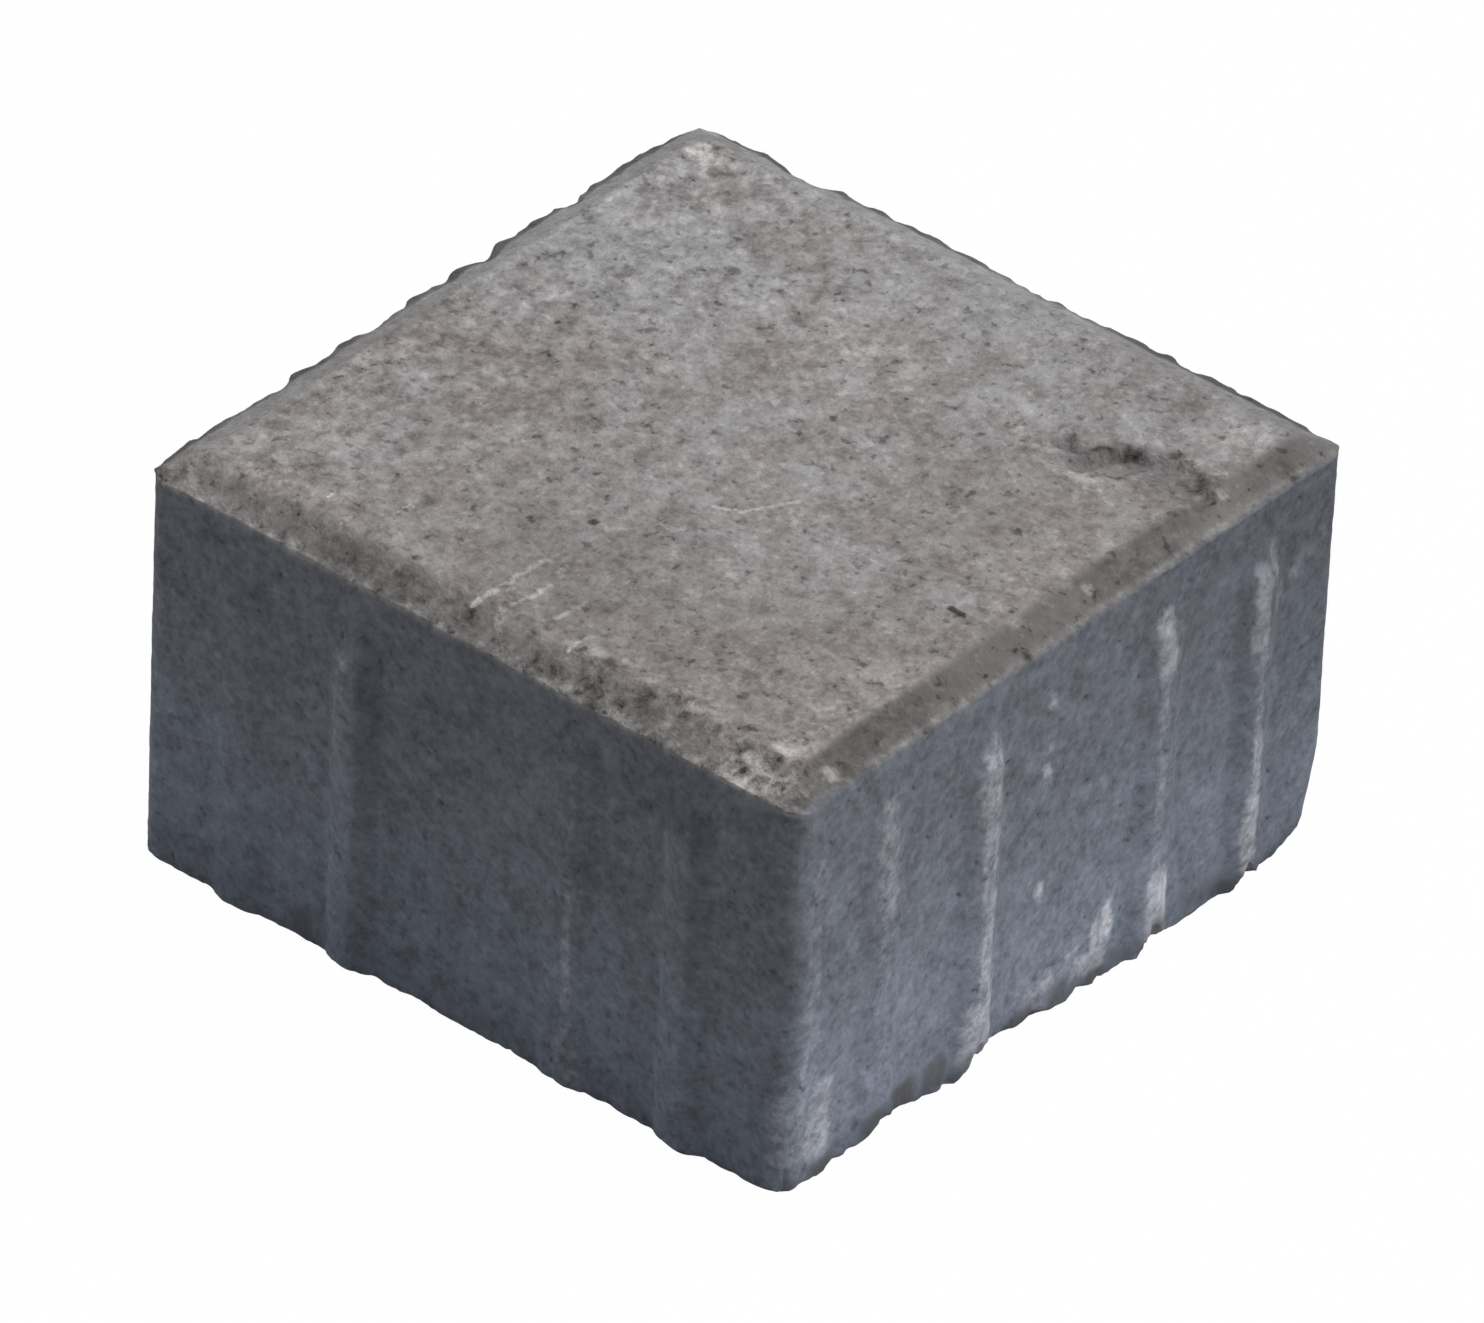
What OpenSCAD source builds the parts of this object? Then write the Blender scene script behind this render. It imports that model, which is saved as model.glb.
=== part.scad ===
// Square concrete paving stone with a chamfered wearing face and spacer ribs on its sides.
// Millimetres, Z up. The bed face lies on the XY plane, centred on the origin.

/* [Stone] */
// Side of the square, between two opposite plain side faces
stone_side = 105; // [90:1:200]
// Thickness, from the bed face to the wearing face
stone_thickness = 60; // [40:1:120]
// Radius of the four upright corners
corner_radius = 3.5; // [1:0.5:9]

/* [Chamfer] */
// Width of the chamfer round the wearing face, on plan
chamfer_width = 5.3; // [2:0.1:10]
// Fall of the chamfer from the wearing face to the arris
chamfer_fall = 2.6; // [1:0.1:8]

/* [Spacer ribs] */
// Distance from a corner of the square to the middle of the nearest rib, along the side face
rib_end_distance = 16.7; // [12:0.1:18]
// Distance between the two ribs of a pair
rib_pitch = 18.6; // [10:0.1:20]
// Width of a rib where it meets the side face
rib_width = 8; // [5:0.1:9]
// Height of a rib's crest above the side face
rib_height = 1.5; // [0.8:0.1:2]
// Plain strip of side face between the arris and the top of a rib
rib_top_gap = 6; // [2:0.5:20]
// Length over which the top of a rib runs out into the side face
rib_runout = 5; // [2:0.5:10]

/* [Tear in the wearing face] */
// Distance from the +X side face to the middle of the tear
tear_from_x_side = 15; // [12:0.5:40]
// Distance from the +Y side face to the middle of the tear
tear_from_y_side = 23.5; // [10:0.5:40]
// Length of the tear, along X
tear_length = 23; // [16:0.5:30]
// Width of the tear, along Y
tear_width = 8; // [5:0.5:12]
// Depth of the tear at its deepest
tear_depth = 1.2; // [0.4:0.1:2]
// Number of overlapping scoops that the tear is made of
tear_scoops = 5; // [3:1:8]

/* [Hidden] */
$fn = 96;
// Distance that a cutting shape reaches past the face it cuts
overshoot = 1;
half_side = stone_side / 2;
arris_z = stone_thickness - chamfer_fall;
// Radius of the cylinder whose cap, rib_width wide and rib_height high, shows as a rib
rib_radius = cap_radius(rib_width, rib_height);
// Distance from the middle of the stone to the axis of a rib's cylinder
rib_axis = half_side + rib_height - rib_radius;
rib_shaft = arris_z - rib_top_gap - rib_runout;
// Share by which a rib's cone goes on into the stone after it has met the side face
runout_sink = 0.2;
outer_rib = half_side - rib_end_distance;
inner_rib = outer_rib - rib_pitch;
rib_places = [-outer_rib, -inner_rib, inner_rib, outer_rib];
face_turns = [0, 90, 180, 270];
tear_radius = cap_radius(tear_width, tear_depth);
tear_step = (tear_length - tear_width) / (tear_scoops - 1);

// Radius of the circle that shows as a cap of the given width and height
function cap_radius(width, height) = (width * width / 4 + height * height) / (2 * height);

// Upright block with rounded corners, before its top edges are cut
module block() {
    linear_extrude(stone_thickness) {
        square([stone_side, stone_side - 2 * corner_radius], center = true);
        square([stone_side - 2 * corner_radius, stone_side], center = true);
        for (x = [-1, 1], y = [-1, 1])
            translate([x * (half_side - corner_radius), y * (half_side - corner_radius)])
                circle(r = corner_radius);
    }
}

// One rib of the +X side: the cap of an upright cylinder, with a cone that runs out into the face
module rib(place) {
    runout = 1 + runout_sink;
    translate([rib_axis, place, 0]) {
        cylinder(h = rib_shaft, r = rib_radius);
        translate([0, 0, rib_shaft])
            cylinder(h = rib_runout * runout, r1 = rib_radius, r2 = rib_radius - rib_height * runout);
    }
}

// Wedge that takes the chamfer off the top edge of the +X side
module chamfer_cut() {
    reach = half_side + rib_height + overshoot;
    low_edge = arris_z - (reach - half_side) * chamfer_fall / chamfer_width;
    high_edge = stone_thickness + overshoot;
    translate([0, reach, 0])
        rotate([90, 0, 0])
            linear_extrude(2 * reach)
                polygon([
                    [half_side - chamfer_width, stone_thickness],
                    [reach, low_edge],
                    [reach, high_edge],
                    [half_side - chamfer_width, high_edge]
                ]);
}

// Shallow tear in the wearing face, a row of overlapping scoops
module tear_cut() {
    translate([half_side - tear_from_x_side, half_side - tear_from_y_side, stone_thickness])
        for (scoop = [0 : tear_scoops - 1])
            translate([scoop * tear_step - (tear_length - tear_width) / 2, 0, tear_radius - tear_depth])
                sphere(r = tear_radius);
}

// The whole stone, cast as one piece
module paving_stone() {
    color([0.45, 0.45, 0.46])
        difference() {
            union() {
                block();
                for (turn = face_turns, place = rib_places)
                    rotate(turn)
                        rib(place);
            }
            for (turn = face_turns)
                rotate(turn)
                    chamfer_cut();
            tear_cut();
        }
}

paving_stone();
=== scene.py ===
# %% [markdown]
# # A concrete paving stone
# The real stone is pressed from earth-dry concrete in a steel mould, in one piece. The imported model gives
# its exact cast form: a square block, a chamfer round the wearing face and upright spacer ribs on the sides.
# This lesson gives that form what the press, the yard and the weather left on it. The frame is loaded first,
# because the stone's main sizes come from it.

# %% Load the cast form
import math

import bpy
import numpy as np
from mathutils import Matrix, Vector, noise


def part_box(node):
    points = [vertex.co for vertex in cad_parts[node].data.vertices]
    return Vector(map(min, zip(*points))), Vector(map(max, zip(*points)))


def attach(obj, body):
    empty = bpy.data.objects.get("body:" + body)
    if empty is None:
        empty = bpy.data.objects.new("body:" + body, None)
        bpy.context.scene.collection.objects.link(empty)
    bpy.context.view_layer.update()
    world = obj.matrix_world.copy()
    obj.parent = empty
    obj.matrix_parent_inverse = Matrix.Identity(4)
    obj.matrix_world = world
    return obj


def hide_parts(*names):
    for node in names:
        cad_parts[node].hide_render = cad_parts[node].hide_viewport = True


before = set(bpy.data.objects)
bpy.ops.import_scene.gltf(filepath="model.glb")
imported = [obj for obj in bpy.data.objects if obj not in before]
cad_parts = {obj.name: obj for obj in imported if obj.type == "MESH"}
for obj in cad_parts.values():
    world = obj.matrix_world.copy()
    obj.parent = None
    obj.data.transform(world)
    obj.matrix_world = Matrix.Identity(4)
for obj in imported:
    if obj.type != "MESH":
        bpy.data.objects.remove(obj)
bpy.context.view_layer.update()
MM = 0.001
SEED = 7
RIB_HEIGHT = 1.5
CORNER_RADIUS = 3.5
CHAMFER_WIDTH = 5.3
CHAMFER_FALL = 2.6
stone_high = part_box("paving_stone")[1]
THICKNESS = stone_high.z / MM
HALF_SIDE = stone_high.x / MM - RIB_HEIGHT
ARRIS = THICKNESS - CHAMFER_FALL
FLAT = HALF_SIDE - CHAMFER_WIDTH
print(f"stone {2 * HALF_SIDE:.1f} mm square and {THICKNESS:.1f} mm thick, arris at {ARRIS:.1f} mm")

# %% [markdown]
# ## The camera
# The picture looks down on one upright edge through a long lens, so the stone's parallel edges stay nearly
# parallel. A camera can be aimed with a constraint, but here three angles and a distance say the same thing
# in numbers that can be measured on the picture: the turn round the stone, the height and the slight tilt.

# %% Camera at the picture's angle
CAMERA_AZIMUTH = math.radians(38.47)
CAMERA_ELEVATION = math.radians(35.97)
CAMERA_TILT = math.radians(-2.74)
CAMERA_DISTANCE = 2.019
LENS_WIDTHS = 11.0
SENSOR_WIDTH = 36.0
FRAME_RIGHT = -0.0004
FRAME_UP = 0.0016

level = math.cos(CAMERA_ELEVATION)
back = Vector((
    math.sin(CAMERA_AZIMUTH) * level,
    -math.cos(CAMERA_AZIMUTH) * level,
    math.sin(CAMERA_ELEVATION),
))
right = Vector((math.cos(CAMERA_AZIMUTH), math.sin(CAMERA_AZIMUTH), 0))
up = back.cross(right)
tilted_right = right * math.cos(CAMERA_TILT) - up * math.sin(CAMERA_TILT)
tilted_up = right * math.sin(CAMERA_TILT) + up * math.cos(CAMERA_TILT)
aim = Vector((0, 0, ARRIS * MM / 2))
place = aim - FRAME_RIGHT * tilted_right - FRAME_UP * tilted_up + CAMERA_DISTANCE * back

lens = bpy.data.cameras.new("long_lens")
lens.sensor_fit = "HORIZONTAL"
lens.sensor_width = SENSOR_WIDTH
lens.lens = LENS_WIDTHS * SENSOR_WIDTH
camera = bpy.data.objects.new("camera", lens)
turned = Matrix((tilted_right, tilted_up, back)).transposed().to_4x4()
camera.matrix_world = Matrix.Translation(place) @ turned
bpy.context.collection.objects.link(camera)
bpy.context.scene.camera = camera
print(f"camera {place.length:.2f} m from the stone, lens {lens.lens:.0f} mm")

# %% [markdown]
# ## A grid laid over the stone
# Wear is a matter of tenths of a millimetre, so the mesh needs a corner wherever the surface can move, and
# a row of corners exactly on each sharp edge. A voxel remesh of the cast form would give even faces too, but
# it rounds the arris off. Instead one square grid is laid on the wearing face, its outer rows fall down the
# chamfer, and its rim is drawn down the sides and in under the bed, like a cloth over a box.

# %% Grid lines and rings
CELL = 0.64
EDGE_ROW = 0.2
CHAMFER_ROWS = 9
BED_RINGS = 12
LEAST_ROUNDING = 1e-6

edge_lines = np.append(np.linspace(FLAT, HALF_SIDE - EDGE_ROW, CHAMFER_ROWS)[1:], HALF_SIDE)
flat_lines = np.linspace(-FLAT, FLAT, round(2 * FLAT / CELL) + 1)
lines = np.concatenate((-edge_lines[::-1], flat_lines, edge_lines))
side_heights = np.linspace(ARRIS - EDGE_ROW, EDGE_ROW, round(ARRIS / CELL))
side_shares = np.append(side_heights, 0) / ARRIS
print(f"{len(lines)} lines each way on the wearing face, {len(side_shares)} rows down the sides")


def rounded_ring(half, along, corner_radius):
    """Distance out and along a side, on square rings whose corners round off towards the arris."""
    radius = corner_radius * np.clip((half - FLAT) / CHAMFER_WIDTH, LEAST_ROUNDING, 1)
    past = np.clip((np.abs(along) - half + radius) / radius, 0, 1) * math.pi / 4
    straight = np.minimum(np.abs(along), half - radius)
    return half - radius + radius * np.cos(past), np.sign(along) * (straight + radius * np.sin(past))


# %% Corners of the grid, some worn rounder than others
# The radius of each upright corner, by the signs of its x and y.
WORN_RADII = {(1, -1): 2.2, (1, 1): 3.0, (-1, 1): 7, (-1, -1): 3.7}
across, deep = np.meshgrid(lines, lines, indexing="ij")
half = np.maximum(np.abs(across), np.abs(deep))
beside = np.abs(across) >= np.abs(deep)
corner_radii = np.full(half.shape, CORNER_RADIUS)
for (sign_x, sign_y), worn_radius in WORN_RADII.items():
    corner_radii[(across * sign_x > 0) & (deep * sign_y > 0)] = worn_radius
out, along = rounded_ring(half, np.where(beside, deep, across), corner_radii)
top_x = np.where(beside, np.sign(across) * out, along)
top_y = np.where(beside, along, np.sign(deep) * out)
fall = np.clip((np.maximum(np.abs(top_x), np.abs(top_y)) - FLAT) / CHAMFER_WIDTH, 0, 1)
top = np.stack((top_x, top_y, THICKNESS - CHAMFER_FALL * fall), axis=-1).reshape(-1, 3)

count = len(lines)
index = np.arange(count * count).reshape(count, count)
rim = np.concatenate((index[:-1, 0], index[-1, :-1], index[:0:-1, -1], index[0, :0:-1]))
sides = [top[rim] * (1, 1, share) for share in side_shares]
beds = [top[rim] * (share, share, 0) for share in np.linspace(1, 0, BED_RINGS + 1)[1:-1]]
corners = np.concatenate([top, *sides, *beds, [(0, 0, 0)]])
print(f"{len(corners)} corners, {len(rim)} in each ring")

# %% Faces of the grid
ring_starts = len(top) + len(rim) * np.arange(len(sides) + len(beds))
rings = [rim] + [begin + np.arange(len(rim)) for begin in ring_starts]
quads = [np.stack((index[:-1, :-1], index[1:, :-1], index[1:, 1:], index[:-1, 1:]), axis=-1).reshape(-1, 4)]
for upper, lower in zip(rings, rings[1:]):
    quads.append(np.stack((upper, lower, np.roll(lower, -1), np.roll(upper, -1)), axis=-1))
last = rings[-1]
middle = np.full(len(last), len(corners) - 1)
fan = np.stack((last, middle, np.roll(last, -1)), axis=-1)
faces = np.concatenate(quads).tolist() + fan.tolist()
print(f"{len(faces)} faces")

# %% [markdown]
# ## Marks that are there once
# The worn ribs, the broken bed edge and the torn hollow each have a place of their own, so they are written
# as short lists in millimetres, as on a drawing, and pressed into the corners of the grid with numpy. A
# sculptor would brush them in by hand; lists can be read, corrected and run again.

# %% Where each corner of the grid lies
# x, y and z are views of the corners, so they follow every move that is made below.
x, y, z = corners.T
on_top = np.zeros(len(corners), dtype=bool)
on_top[:len(top)] = True
on_side = np.zeros(len(corners), dtype=bool)
on_side[len(top):len(top) + len(rim) * len(sides)] = True


def tell(what, values, over=0.3):
    """Prints how many corners a move or a mask reaches, and the most that it is."""
    print(f"{what}: {np.count_nonzero(values > over)} corners over {over}, {values.max():.2f} at most")


print(f"{np.count_nonzero(on_top)} corners on the wearing face, {np.count_nonzero(on_side)} on the sides")

# %% Helpers that rise and fall
def smooth(value, start, end):
    """Rises smoothly from 0 at start to 1 at end."""
    share = np.clip((value - start) / (end - start), 0, 1)
    return share * share * (3 - 2 * share)


def fade(value, start, end):
    """Falls smoothly from 1 at start to 0 at end."""
    return 1 - smooth(value, start, end)


def between(value, start, full, falling, end):
    """Rises from 0 at start to 1 at full, and falls back from falling to 0 at end."""
    return smooth(value, start, full) * fade(value, falling, end)


def graded(value, table):
    """The share at each value, read off a table of places and their shares."""
    places, shares = np.array(table).T
    return np.interp(value, places, shares)


def wander(size, seed):
    """Smooth noise from about -1 to 1 at each corner, with lumps of the given size in millimetres."""
    shift = Vector((seed * 17.3, seed * 5.1, seed * 9.7))
    return np.array([noise.noise(Vector(corner) / size + shift) for corner in corners])


# %% Helpers for the side faces
FACES = ("right", "far_right", "far_left", "left")


def face_turn(face):
    """Angle from the right face to another, seen from above."""
    return math.radians(90 * FACES.index(face))


def on_face(face):
    """How far out each corner is, and how far along a side face, to the right as one looks at it."""
    turn = face_turn(face)
    out = x * math.cos(turn) + y * math.sin(turn)
    along = y * math.cos(turn) - x * math.sin(turn)
    return out, along


def push_out(face, distance):
    """Moves corners outward from the middle of the stone, square to a side face."""
    turn = face_turn(face)
    corners[:, 0] += distance * math.cos(turn)
    corners[:, 1] += distance * math.sin(turn)


def ring_sizes():
    """Half the side of the level square ring that each corner lies on."""
    return np.maximum(np.abs(x), np.abs(y))


# %% [markdown]
# ## Spacer ribs
# The ribs keep laid stones a joint apart. Geometry Nodes could copy one rib along every side, but these are
# cast in one with the stone and no two are worn alike. So each is raised out of the grid as the cap of an
# upright cylinder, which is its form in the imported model, times the share of its height that wear has left.

# %% Raise the ribs, each as worn as it is
RIB_PLACES = (-35.8, -17.2, 17.2, 35.8)
RIB_WIDTH = 8
RIB_TOP_GAP = 6
RIB_TOP = ARRIS - RIB_TOP_GAP
RIB_RUNOUT = 5
RIB_RADIUS = (RIB_WIDTH ** 2 / 4 + RIB_HEIGHT ** 2) / (2 * RIB_HEIGHT)
# The share of its height that each rib keeps, in the order of the places.
RIB_LEFT_OVER = {
    "right": (0.4, 1.0, 0.75, 1.0),
    "far_right": (0.9, 0.5, 1.0, 0.7),
    "far_left": (0.6, 1.0, 0.4, 0.9),
    "left": (0.3, 1.0, 0.4, 0.95),
}
# How much of the worn height comes back at the foot, and the heights between which it does.
RIB_FOOT_KEPT = {"right": 1.0, "far_right": 1.0, "far_left": 1.0, "left": 0.5}
RIB_FOOT_HEIGHTS = (2, 14)
FACE_TOLERANCE = 0.01
low_on_rib = fade(z, *RIB_FOOT_HEIGHTS)
for face in FACES:
    whole = low_on_rib * RIB_FOOT_KEPT[face]
    out, along = on_face(face)
    plain = on_side & (out > HALF_SIDE - FACE_TOLERANCE)
    run_out = np.clip((z - RIB_TOP + RIB_RUNOUT) / RIB_RUNOUT, 0, 1)
    radius = RIB_RADIUS - RIB_HEIGHT * run_out
    for place_along, left_over in zip(RIB_PLACES, RIB_LEFT_OVER[face]):
        cap = np.sqrt(np.clip(radius ** 2 - (along - place_along) ** 2, 0, None)) - RIB_RADIUS + RIB_HEIGHT
        kept = left_over + (1 - left_over) * whole
        push_out(face, np.where(plain, np.clip(cap, 0, None) * kept, 0))
    print(f"{face} ribs keep {RIB_LEFT_OVER[face]} of their height")

# %% [markdown]
# ## Broken edges
# Pressed concrete breaks first at its edges: the bed edge is ragged, the arrises are nicked and the corners
# are rubbed down. A Bevel modifier would round every edge alike. Here each chip has a place and a size of
# its own, and noise makes its outline ragged, so that the edge is broken where the real one is.

# %% Break the bed edge
# Each chip has a start, a peak and an end along the face, and a height up from the bed.
BED_CHIPS = {
    "right": (
        (-60, -53, -50.2, 2.8), (-60, -48, -44, 0.5), (-45, -42.7, -38, 1.15), (-42, -35.5, -22.5, 3.8),
        (-20, -16, 3, 3.7), (-20.5, -16.3, -13, 5.0), (-9, -4.5, 1, 2.1), (1.5, 4, 7, 1.1),
        (14.6, 17.3, 21.8, 4.4), (33.5, 36.3, 39, 3.2), (44, 54, 60, 0.8),
    ),
    "far_right": ((-60, -52, -42, 2.0), (-30, -22, -12, 1.6), (5, 9, 20, 2.2), (38, 52, 60, 1.4)),
    "far_left": ((-60, -52, -44, 1.4), (-26, -24, -8, 1.8), (14, 22, 26, 1.2), (40, 52, 60, 1.0)),
    "left": (
        (-29, -26.5, -23, 0.35), (-21, -18.5, -14, 0.6), (-9, -6, -4, 0.45), (8, 9.5, 14, 0.25),
        (13.5, 16, 21, 0.5), (22.5, 24.5, 28, 0.3), (32, 34, 38, 0.5), (49, 51, 60, 0.9),
        (50.4, 53, 60, 3.2),
    ),
}
CHIP_SLANT = 0.7
CHIP_RAGGED = 0.28
BED_RAGGED = 0.07
RAGGED_SIZE = 2.4
BED_EDGE_BAND = 1
ragged = wander(RAGGED_SIZE, SEED)
bed_edge = np.zeros(len(corners))
broken = np.zeros(len(corners))
for face in FACES:
    out, along = on_face(face)
    lift = np.zeros(len(corners))
    for start, peak, end, height in BED_CHIPS[face]:
        lift = np.maximum(lift, np.interp(along, (start, peak, end), (0, height, 0), left=0, right=0))
    lift = lift * (1 + CHIP_RAGGED * ragged) + BED_RAGGED * (1 + 2 * ragged)
    inward = np.clip(HALF_SIDE - out, 0, None)
    bed_edge = np.where(inward < BED_EDGE_BAND, np.maximum(bed_edge, lift), bed_edge)
    cut = np.clip(lift - z - inward / CHIP_SLANT, 0, None) / 2
    push_out(face, -cut * CHIP_SLANT)
    corners[:, 2] += cut
    broken = np.maximum(broken, smooth(cut, 0.05, 0.4))
    tell(f"{face} bed edge", cut, 0.1)

# %% Wear the foot of the right-hand corner round
WORN_FOOT_HEIGHT = 14
WORN_FOOT_DEPTH = 1.8
WORN_FOOT_REACH = 12
WORN_FOOT_CURVE = 1.5
foot_away = np.hypot(x - HALF_SIDE, y - HALF_SIDE)
foot_low = np.clip(1 - z / WORN_FOOT_HEIGHT, 0, 1) ** WORN_FOOT_CURVE
worn_foot = WORN_FOOT_DEPTH * foot_low * fade(foot_away, 0, WORN_FOOT_REACH) * ~on_top
corners[:, :2] -= worn_foot[:, None] / math.sqrt(2)
tell("worn foot", worn_foot, 0.1)

# %% Wear down the tips of three corners of the arris
# Each tip: the signs of its x and y, and how far it is worn down.
WORN_TIPS = ((-1, -1, 0.9), (-1, 1, 0.7), (1, 1, 0.3))
WORN_TIP_REACH = 8
WORN_TIP_DEPTH = 5
below_arris = np.where(on_side, ARRIS - z, 0)
ring_size = ring_sizes()
tip_band = np.where(on_side, 1 - below_arris / WORN_TIP_DEPTH, (ring_size - FLAT) / CHAMFER_WIDTH * on_top)
for sign_x, sign_y, worn_down in WORN_TIPS:
    tip_away = np.hypot(x - sign_x * HALF_SIDE, y - sign_y * HALF_SIDE)
    corners[:, 2] -= worn_down * np.clip(tip_band, 0, 1) * fade(tip_away, 0, WORN_TIP_REACH)
    print(f"tip {sign_x} {sign_y} worn down {worn_down} mm")

# %% Bands along the arrises, and the lumps that break them up
LIP_TOP = 0.3
LIP_DEPTH = 1.4
LIP_REACH = 3
beside_arris = np.where(on_top, smooth(ring_size, HALF_SIDE - 0.7, HALF_SIDE - 0.1), 0)
band = np.where(on_side, fade(below_arris, LIP_TOP, LIP_DEPTH), beside_arris)
above_arris = (ring_size - HALF_SIDE) / LIP_REACH + 1
wide_band = np.where(on_side, fade(below_arris, LIP_TOP, LIP_REACH), above_arris)
wide_band = np.clip(wide_band, 0, 1) * (on_side | on_top)
lumps = wander(5.5, SEED + 1) + 0.5 * wander(2.2, SEED + 5)
ragged_lip = smooth(lumps + 0.9 * wander(13, SEED + 7), -0.6, 0.6)
nicks = smooth(wander(2.6, SEED + 2), 0.25, 0.7)
tell("bands along the arrises", band)

# %% Nick the near arrises and break the far ones, which keep a ragged lip that is coloured dark
# Each chip in a far arris: its middle along the face, its half length and how far it goes in.
FAR_CHIPS = {
    "far_right": ((35, 7, 1.1), (44, 4, 0.3), (-4, 2.5, 0.4), (-22, 2, 0.4)),
    "far_left": (
        (-10.8, 3.4, 1.2), (-27, 2.4, 1.2), (-46, 3, 0.3), (-3.5, 2.4, 0.5),
        (10, 4, 0.3), (21, 3, 0.6), (28, 3, 0.3),
    ),
}
NICK = 0.35
LIP_IN = 0.45
LIP_OUT = 0.35
CHIP_FLOOR = 0.5
lip = np.zeros(len(corners))
for face in FACES:
    out, along = on_face(face)
    facing = smooth(out, HALF_SIDE - 0.7, HALF_SIDE - 0.2) * fade(np.abs(along), 38, 47)
    if face.startswith("far"):
        far_lip_band = smooth(out, HALF_SIDE - 2.2, HALF_SIDE - 0.5) * np.where(on_side, band, on_top)
        lip = np.maximum(lip, far_lip_band * (0.5 + 0.5 * ragged_lip))
        chipped = np.zeros(len(corners))
        for middle_along, half_length, chip_depth in FAR_CHIPS[face]:
            chip = chip_depth * fade(np.abs(along - middle_along), CHIP_FLOOR, half_length)
            chipped = np.maximum(chipped, chip)
        side_facing = smooth(out, HALF_SIDE - LIP_REACH - 1, HALF_SIDE - LIP_REACH)
        side_facing *= fade(np.abs(along), 46, 50)
        push_out(face, -(chipped + LIP_IN * (1 - ragged_lip)) * wide_band * side_facing)
        push_out(face, LIP_OUT * ragged_lip * band * facing)
    else:
        push_out(face, -NICK * nicks * band * facing)
tell("lip of grit", lip)

# %% [markdown]
# ## The torn hollow
# Near the right-hand corner the wearing face is torn: a steep ragged wall at the back, and a floor that
# rises slowly to the front. The imported model has it as a row of scoops. A Boolean with a rough block could
# cut it here, but it would leave thin faces, so the grid is sunk in front of a line drawn along the wall.

# %% Tear the hollow in the wearing face
# Places along x, each with the y of the hollow's back wall, the hollow's depth and how dark the wall's
# painted shade is.
HOLLOW = (
    (25.8, 28, 0.0, 0.0), (27.2, 28.8, 0.9, 0.7), (29.6, 29, 1.1, 0.75), (31.4, 27.4, 1.2, 0.8),
    (33.4, 29, 1.6, 0.95), (34.3, 31.9, 2.0, 1.0), (36.2, 32.4, 2.0, 1.0), (37.4, 32.6, 1.8, 0.9),
    (39.7, 34.2, 1.4, 0.7), (42.3, 33.8, 1.0, 0.4), (45.4, 33, 1.0, 0.4), (47.3, 32.1, 1.1, 0.6),
    (48.6, 30.6, 1.0, 0.6), (50.4, 28.5, 0.0, 0.0),
)
HOLLOW_WALL = 1.5
HOLLOW_REACH = 8.5
HOLLOW_CRUMBLE = 0.9
HOLLOW_LUMPY = 0.3
crumble = wander(2.2, SEED + 3) + 0.6 * wander(1.1, SEED + 6)
hollow_x, hollow_back, hollow_depths, hollow_shades = np.array(HOLLOW).T
before_wall = np.interp(x, hollow_x, hollow_back) - y + HOLLOW_CRUMBLE * crumble
hollow_depth = np.interp(x, hollow_x, hollow_depths)
profile = between(before_wall, 0, HOLLOW_WALL, HOLLOW_WALL, HOLLOW_REACH)
sink = np.where(on_top, hollow_depth * profile * (1 + HOLLOW_LUMPY * crumble), 0)
corners[:, 2] -= sink
tell("hollow", sink)

# %% [markdown]
# ## What the skin needs to know
# Roughness, bloom, stains, and painted light and shade change from place to place. Each is worked out once
# for every corner and stored as an attribute of the mesh, and both the skin's relief and the finish read it
# from there.
# Vertex paint would store the same thing, but paint stays where it is when a chip or the hollow is corrected.

# %% Soil on the near chamfers
# Places along y on the right chamfer and along x on the left one, each with its share of soil.
SOIL_RIGHT = (
    (-50, 1.0), (-30, 1.0), (-22, 0.7), (4, 0.6), (11, 0.9),
    (22, 0.8), (28, 0.45), (35, 0.6), (41, 0.95), (48, 0.7),
)
SOIL_LEFT = (
    (-48, 0.15), (-40, 0.6), (-32, 0.65), (-25, 0.97), (-12, 0.97),
    (0, 0.8), (14, 0.84), (32, 0.72), (40, 0.1),
)
# How far outside the upper edge of the right chamfer its soil begins, at places along y.
SOIL_RIGHT_START = ((-46, 0.4), (-38, -0.1), (22, -0.1), (36, 0.4))
# How far each side of its mitre a chamfer gives way to the next.
MITRE = (-6, 2)
ring_size = ring_sizes()
wearing = on_top.astype(float)
chamfer = smooth(ring_size, FLAT - 0.8, FLAT + 0.8) * wearing
near_left = smooth(-y - np.abs(x), *MITRE)
near_right = smooth(x - np.abs(y), *MITRE)
near = np.clip(near_left + near_right, 0, 1)
soil_edge = FLAT + graded(y, SOIL_RIGHT_START)
soiled_right = smooth(ring_size, soil_edge - 0.7, soil_edge + 0.8) * wearing * near_right
soiled_right *= graded(y, SOIL_RIGHT)
soiled_left = smooth(ring_size, FLAT - 2.5, FLAT + 2.5) * wearing * near_left
soiled_left *= graded(x, SOIL_LEFT)
tell("soil on the near chamfers", np.maximum(soiled_right, soiled_left))

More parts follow.
